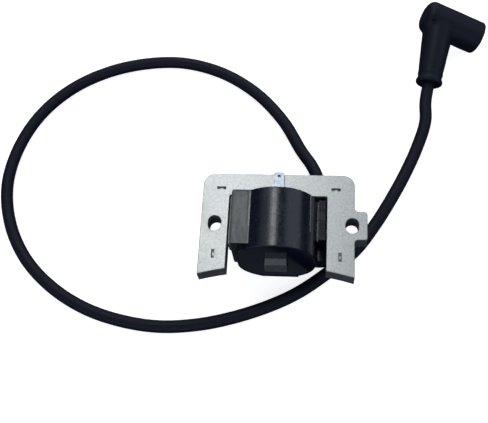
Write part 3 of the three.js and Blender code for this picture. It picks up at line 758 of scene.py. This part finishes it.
def core():
    """The sheets: dents go through the front two, bumps show behind, inner sheets lie unevenly."""
    loops = sheet_loops()
    shift = random.Random(SEED)
    for i, node in enumerate(SHEETS):
        low, high = span(node)
        back = CORE_BACK if i == 0 else low.z
        outer = i in (0, len(SHEETS) - 1)
        mesh = plate(loops, back, high.z, SHEET_EDGE["outer" if outer else "inner"])
        if i >= len(SHEETS) - 2:
            mesh = combined(mesh, cuts=[interlock(*place, CORE_FRONT, INTERLOCK["depth"])
                                        for place in INTERLOCKS])
        if i == 0:
            mesh = combined(mesh, joins=[interlock(*place, back, INTERLOCK["bump"])
                                         for place in INTERLOCKS])
        if not outer:
            mesh.transform(Matrix.Translation((shift.uniform(-SHEET_SHIFT, SHEET_SHIFT),
                                               shift.uniform(-SHEET_SHIFT, SHEET_SHIFT), 0)))
        sheet = placed(f"lamination_{i + 1:02d}", mesh, [STEEL_FACE, STEEL_CUT],
                       [node], smooth=30)
        by_direction(sheet)


# ---- Coil body ----------------------------------------------------------------------------------


def body_prism(radius, rear, bottom, top, count=56):
    return prism(stadium(radius, rear, BODY["front"], count), bottom, top, "Y")


def below(height):
    """A cutter for all that lies below a height."""
    return block(-FAR, -FAR, height - FAR, FAR, FAR, height)


def tower_part(radius, bottom, top, count=48):
    return prism(circle(radius, TOWER["x"], TOWER["z"], count), bottom, top, "Y")


def with_round_rim(mesh, width, on_rim):
    """The mesh with the edges whose both ends lie on a rim rounded off."""
    bm = bmesh.new()
    bm.from_mesh(mesh)
    rim = [edge for edge in bm.edges if all(on_rim(v.co) for v in edge.verts)]
    bmesh.ops.bevel(bm, geom=rim, offset=width, segments=3, profile=0.5, affect="EDGES")
    return mesh_from(bm)


def cup():
    """The square cup with a rounded front rim. Its right side ends inside the barrel."""
    full = rectangle(CUP["left"], CUP["bottom"], CUP["right"], CUP["top"], CUP["corner"])
    mesh = prism(full, CUP["back"], CUP["front"])
    return with_round_rim(mesh, CUP["rim"], lambda p: p.z > CUP["front"] - ON_PLANE)


def barrel_body():
    mesh = body_prism(BODY["radius"], BODY["rear"], BODY["bottom"], BODY["top"])
    return with_round_rim(mesh, BODY["rim"], lambda p: p.y < BODY["bottom"] + ON_PLANE
                          or p.y > BODY["top"] - ON_PLANE)


def wing():
    """The narrow wing on the right: a groove beside the barrel, then a face that falls away."""
    left, right, back, crest = WING["left"], WING["right"], WING["back"], WING["crest"]
    high, low = CORE_FRONT - WING["high"], CORE_FRONT - WING["low"]
    groove = high - WING["groove_depth"]
    section = [(left, back), (right, back), (right, low), (crest, high), (crest, groove),
               (WING["groove"], groove), (left, high)]
    return prism([Vector(p) for p in section], WING["bottom"], WING["top"], "Y")


def housing():
    """The coil body: barrel, cup, flange, wing, ridge, tower with its web, and keel, hollowed."""
    joins = [
        cup(),
        slab(FLANGE, CORE_BACK + FLANGE["off_back"], CORE_FRONT - FLANGE["off_front"]),
        wing(),
        slab(RIDGE, RIDGE["back"], RIDGE["front"], top=BODY["top"] - RIDGE["off_top"]),
        tower_part(TOWER["radius"], TOWER["bottom"], TOWER["top"]),
        slab(TOWER_WEB, TOWER_WEB["back"], TOWER_WEB["front"], bottom=TOWER["bottom"],
             right=TOWER["x"]),
        slab(KEEL, 0, KEEL["front"], bottom=BODY["bottom"], top=BODY["top"]),
    ]
    chamber = combined(
        body_prism(CHAMBER["radius"], CHAMBER["rear"], BODY["bottom"] - THROUGH, CHAMBER["top"]),
        cuts=[slab(CUP, POCKET["floor"] - 1, BEYOND_FRONT, right=POCKET["right"] + 1)],
    )
    seat = combined(
        body_prism(END_SEAT["radius"], BODY["rear"], BODY["bottom"] - THROUGH,
                   BODY["bottom"] + END_SEAT["depth"]),
        cuts=[below(END_SEAT["lowest"])],
    )
    slot = BLADE["shoulder"] + BLADE_SLOT["side"]
    cuts = [
        slab(POCKET, POCKET["floor"], BEYOND_FRONT),
        chamber,
        seat,
        below(0),
        prism(leg_section(*LEG_HOLE), CHAMBER["top"] - THROUGH, BODY["top"] + THROUGH, "Y"),
        block(BLADE["x"] - slot, CHAMBER["top"] - THROUGH, CORE_FRONT, BLADE["x"] + slot,
              BLADE_SLOT["end"], BLADE["back"] + THROUGH),
        slab(REAR_WINDOW, -THROUGH, REAR_WINDOW["front"]),
        tower_part(TOWER["bore"], 0, TOWER["top"] + THROUGH, 32),
        tower_part(SPIKE_HOLE["radius"], -SPIKE_HOLE["depth"], THROUGH, 16),
    ]
    mesh = bevelled(cleaned(combined(barrel_body(), joins, cuts)), BODY["edge"])
    placed("coil_body", mesh, [HOUSING], ["coil_housing"])


def end_cover():
    low, high = span("end_plate")
    hole = prism(leg_section(*LEG_HOLE), low.y - THROUGH, high.y + THROUGH, "Y")
    mesh = combined(body_prism(END_SEAT["radius"] - END_COVER["gap"], BODY["rear"], low.y, high.y),
                    cuts=[below(low.z), hole])
    mesh = bevelled(cleaned(mesh), END_COVER["edge"], 2)
    placed("end_cover", mesh, [GLOSSY], ["end_plate"])


def eased(t):
    """0 to 1 with closer steps at both ends."""
    return 0.5 - 0.5 * math.cos(math.pi * t) if 0 < t < 1 else t


def module_potting():
    """The cup's resin, which has crept up its walls while it set."""
    low, high = span("module_resin")
    low = Vector((POCKET["left"], POCKET["bottom"], low.z))
    high = Vector((POCKET["right"], POCKET["top"], high.z))
    nx, ny = 20, 56
    climb, reach, swell, clearance = RESIN.values()
    bm = bmesh.new()

    def surface(x, y):
        gaps = (x - low.x, high.x - x, y - low.y, high.y - y)
        rise = sum(climb * math.exp(-(gap / reach) ** 1.5 * 3) for gap in gaps)
        wave = swell * noise.noise(Vector((x * 0.35, y * 0.22, 3.1)))
        return high.z - climb + min(rise, climb) + wave

    grid = [[bm.verts.new((low.x + (high.x - low.x) * eased(i / nx),
                           low.y + (high.y - low.y) * eased(j / ny), 0))
             for j in range(ny + 1)] for i in range(nx + 1)]
    for row in grid:
        for v in row:
            v.co.z = surface(v.co.x, v.co.y)
    for i in range(nx):
        for j in range(ny):
            bm.faces.new((grid[i][j], grid[i + 1][j], grid[i + 1][j + 1], grid[i][j + 1]))
    rim = ([grid[i][0] for i in range(nx)] + [grid[nx][j] for j in range(ny)]
           + [grid[i][ny] for i in range(nx, 0, -1)] + [grid[0][j] for j in range(ny, 0, -1)])
    bottom = [bm.verts.new((v.co.x, v.co.y, low.z)) for v in rim]
    for i in range(len(rim)):
        j = (i + 1) % len(rim)
        bm.faces.new((rim[i], rim[j], bottom[j], bottom[i]))
    bm.faces.new(bottom)
    board_back = span("circuit_board")[0].z - THROUGH
    room = Vector((clearance, clearance, clearance))
    pockets = []
    for node in ("circuit_board", "power_transistor", "drive_transistor", "bias_resistor",
                 "sense_resistor", "clamp_diode", "surge_capacitor"):
        start, end = span(node)
        start, end = start - room, end + room
        pockets.append(block(start.x, start.y, board_back, end.x, end.y, end.z))
    mesh = combined(mesh_from(bm), cuts=pockets)
    placed("module_potting", mesh, [POTTING], ["module_resin"], smooth=50)


def stop_blade():
    b = BLADE
    x, half, shoulder = b["x"], b["half"], b["shoulder"]
    outline = rounded([
        (x - shoulder, b["start"]),
        (x + shoulder, b["start"]),
        (x + shoulder, b["shoulder_end"], b["corner"]),
        (x + half, b["shoulder_end"], b["corner"]),
        (x + half, b["end"], b["tip_corner"]),
        (x - half, b["end"], b["tip_corner"]),
        (x - half, b["shoulder_end"], b["corner"]),
        (x - shoulder, b["shoulder_end"], b["corner"]),
    ], step=0.1)
    hole = circle(BLADE_HOLE["radius"], x, b["end"] - BLADE_HOLE["from_end"], 24)
    mesh = plate([outline, hole], b["back"], b["front"], b["edge"])
    placed("stop_blade", mesh, [TINNED], ["stop_terminal"])


def lead_grommet():
    """The lead's seal: a collar against the tower, then a taper with a rounded tip."""
    low, high = span("lead_seal")
    bore, root, tip, collar, edge, chamfer = SEAL.values()
    profile = [(bore, low.y), (root - edge, low.y), (root, low.y + edge), (root, low.y + collar),
               (root - 0.12, low.y + 1), (tip + chamfer, high.y - 0.7),
               (tip - 0.1, high.y - chamfer), (tip - edge, high.y), (bore + chamfer, high.y),
               (bore, high.y - chamfer)]
    mesh = turned(profile)
    mesh.transform(Matrix.Translation((TOWER["x"], 0, TOWER["z"])))
    placed("lead_grommet", mesh, [RUBBER], ["lead_seal"])


# ---- Boot ---------------------------------------------------------------------------------------


def arc(centre, radius, start, end, count=8):
    angles = [math.radians(start + (end - start) * i / count) for i in range(count + 1)]
    return [(centre[0] + radius * math.cos(a), centre[1] + radius * math.sin(a)) for a in angles]


def sleeve_radius(from_tail):
    """The sleeve's outside at a distance from its tail: it widens evenly to the elbow."""
    return SLEEVE["tip"] + (SLEEVE["root"] - SLEEVE["tip"]) * from_tail / SLEEVE["length"]


def soften_elbow(bm, rounds=16, near=2.2):
    """Smooths the seam where the sleeve runs into the barrel, and then everything once."""
    to_barrel = TO_BARREL.inverted()
    seam = []
    for v in bm.verts:
        in_barrel = to_barrel @ v.co
        off_barrel = abs(math.hypot(in_barrel.x, in_barrel.z) - BARREL["radius"])
        off_sleeve = abs(math.hypot(v.co.x, v.co.z) - sleeve_radius(v.co.y + SLEEVE["length"]))
        at_elbow = -10 < in_barrel.y < 12 and v.co.y < 2
        if at_elbow and off_barrel < near and off_sleeve < near:
            seam.append(v)
    for verts in [seam] * rounds + [bm.verts[:]]:
        bmesh.ops.smooth_vert(bm, verts=verts, factor=0.5, use_axis_x=True, use_axis_y=True,
                              use_axis_z=True)


def press_dimple(bm):
    """The small round mark the mould's pin left on the barrel's closed end."""
    centre = TO_BARREL @ DIMPLE["place"]
    inward = -(TO_BARREL.to_3x3() @ Vector((DIMPLE["place"].x, 0, DIMPLE["place"].z))).normalized()
    for v in bm.verts:
        share = (v.co - centre).length / DIMPLE["radius"]
        v.co += inward * DIMPLE["depth"] * math.exp(-share**4)


def crumple(bm, height=0.07, closeness=0.22):
    """The faint unevenness of moulded rubber."""
    bm.normal_update()
    moves = [(v, v.normal * height * noise.noise(v.co * closeness)) for v in bm.verts]
    for v, move in moves:
        v.co += move


def boot():
    """The elbow boot: its outside is remeshed and softened as one skin, and its bores are cut."""
    radius, mouth, end, rounding, rim, bore, bore_end = BARREL.values()
    root, _, length, lip, lead_bore = SLEEVE.values()
    tail = -length
    edge, lip_end, taper_start = 1, 1.4, 3
    barrel = turned([
        (0, end),
        *arc((radius - rounding, end + rounding), rounding, -90, 0, 10),
        *arc((radius - rim, mouth - rim), rim, 0, 90, 6),
        (0, mouth),
    ], 96)
    barrel.transform(TO_BARREL)
    sleeve = turned([
        (0, tail),
        *arc((lip - edge, tail + edge), edge, -90, 0, 5),
        *arc((lip - edge, tail + lip_end), edge, 0, 60, 4),
        (sleeve_radius(taper_start), tail + taper_start),
        *[(sleeve_radius(place) + height, tail + place) for place, height in RING],
        (root, 0),
        (0, 0),
    ], 96)
    outside = modified(combined(barrel, joins=[sleeve]), "REMESH", mode="VOXEL",
                       voxel_size=VOXEL, use_smooth_shade=True)
    bm = bmesh.new()
    bm.from_mesh(outside)
    soften_elbow(bm)
    press_dimple(bm)
    crumple(bm)
    outside = mesh_from(bm)
    barrel_bore = turned([
        (0, bore_end),
        (bore, bore_end),
        *[(bore + wider, mouth + place) for wider, place in MOUTH_FLARE],
        (0, mouth + THROUGH),
    ], 64)
    barrel_bore.transform(TO_BARREL)
    sleeve_bore = turned([
        (0, tail - THROUGH),
        *[(wide, tail + place) for wide, place in FUNNEL],
        (lead_bore, 0),
        (0, 0),
    ], 64)
    mesh = combined(outside, cuts=[barrel_bore, sleeve_bore])
    placed("plug_boot_rubber", mesh, [RUBBER], ["plug_boot"], "boot", BOOT_TO_FRAME,
           smooth=40)


core()
housing()
end_cover()
module_potting()
stop_blade()
lead_grommet()
boot()

# ---- Lead's finish and body ---------------------------------------------------------------------

lead_curve.materials.append(CABLE)
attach(lead, "coil")
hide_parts("ignition_lead")

# ---- Floor, backdrop and light ------------------------------------------------------------------

STAGE_RADIUS = 4000


def set_stage(name, mesh, material):
    """Sets a floor or backdrop, which the object doesn't mirror and isn't lit by."""
    mesh.transform(Matrix.Scale(MM, 4))
    mesh.materials.append(material)
    obj = bpy.data.objects.new(name, mesh)
    bpy.context.scene.collection.objects.link(obj)
    obj.visible_glossy = False
    obj.visible_diffuse = False
    return obj


def glowing(recipe, strength):
    """The recipe's material with a white glow of its own."""
    recipe.shader.inputs["Emission Color"].default_value = (1, 1, 1, 1)
    recipe.shader.inputs["Emission Strength"].default_value = strength
    return recipe.done()


floor_recipe = Recipe("floor", (0.8, 0.8, 0.8), 0.8, specular=0.1)
floor_recipe.tint(floor_recipe.between(floor_recipe.noise(60, detail=2), 0.3, 0.7, 0, 0.3),
                  (0.78, 0.78, 0.785))
floor_mesh = prism(rectangle(-STAGE_RADIUS, -STAGE_RADIUS, STAGE_RADIUS, STAGE_RADIUS), -2, 0)
set_stage("floor", floor_mesh, glowing(floor_recipe, 0.82))

backdrop_recipe = Recipe("backdrop", (0, 0, 0), 1, specular=0)
backdrop_recipe.tint(backdrop_recipe.between(backdrop_recipe.noise(900), 0.3, 0.7, 0, 0.5),
                     (0.02, 0.02, 0.02))
dome = turned([(0, STAGE_RADIUS), *arc((0, 0), STAGE_RADIUS, 84, 0, 14)])
dome.transform(Matrix.Rotation(math.radians(90), 4, "X"))
backdrop = set_stage("backdrop", dome, glowing(backdrop_recipe, 1.05))
backdrop.visible_shadow = False


def area_light(name, radiance, size, distance, across, away, colour=(1, 1, 1)):
    """A soft box at a distance, tilted from overhead across (+X) and away (+Y), in degrees."""
    data = bpy.data.lights.new(name, "AREA")
    data.shape = "RECTANGLE"
    data.size, data.size_y = size
    data.energy = radiance * math.pi * size[0] * size[1]
    data.color = colour
    light = bpy.data.objects.new(name, data)
    bpy.context.scene.collection.objects.link(light)
    tilt = (Matrix.Rotation(math.radians(across), 3, "Y")
            @ Matrix.Rotation(math.radians(-away), 3, "X"))
    light.location = tilt @ Vector((0, 0, 1)) * distance
    light.rotation_euler = tilt.to_euler()


# Name, radiance, size, distance, tilt across and away, colour.
area_light("key", 8.0, (0.16, 0.36), 0.75, -8, 24, (0.94, 0.97, 1))
area_light("left", 0.45, (0.4, 0.4), 0.75, -30, 22, (0.9, 0.95, 1))
area_light("side", 1.05, (0.6, 0.5), 0.75, 49, 20, (0.82, 0.9, 1))
area_light("fill_front", 1.2, (0.7, 0.45), 0.9, -15, -58, (0.85, 0.92, 1))
area_light("fill_back", 1.2, (0.7, 0.45), 0.9, 10, 66, (0.85, 0.92, 1))


def set_world():
    """Soft light from all round at low heights, with a dark lane above and beyond the coil."""
    world = bpy.data.worlds.new("world")
    bpy.context.scene.world = world
    world.use_nodes = True
    nodes, links = world.node_tree.nodes, world.node_tree.links

    def add(kind, *inputs, **settings):
        node = nodes.new(kind)
        for key, value in settings.items():
            setattr(node, key, value)
        for socket, value in zip(node.inputs, inputs):
            if isinstance(value, bpy.types.NodeSocket):
                links.new(value, socket)
            else:
                socket.default_value = value
        return node.outputs

    direction = add("ShaderNodeSeparateXYZ", add("ShaderNodeTexCoord")["Generated"])
    rising = add("ShaderNodeMapRange", direction["Z"], 0.02, 0.12, 0, 1)[0]
    falling = add("ShaderNodeMapRange", direction["Z"], 0.6, 0.8, 1, 0)[0]
    lane_middle, lane_edge, lane_end = 0.38, 0.22, 0.36
    off_lane = add("ShaderNodeMath", direction["Y"], lane_middle, operation="SUBTRACT")[0]
    distance = add("ShaderNodeMath", off_lane, operation="ABSOLUTE")[0]
    beside = add("ShaderNodeMapRange", distance, lane_edge, lane_end, 0, 1)[0]
    ring = add("ShaderNodeMath", rising, falling, operation="MULTIPLY")[0]
    glow = add("ShaderNodeMath", ring, beside, operation="MULTIPLY")[0]
    strength = add("ShaderNodeMapRange", glow, 0, 1, 0.06, 0.75)[0]
    background = nodes["Background"]
    background.inputs["Color"].default_value = (0.74, 0.85, 1, 1)
    links.new(strength, background.inputs["Strength"])


set_world()
bpy.context.scene.view_settings.view_transform = "Standard"
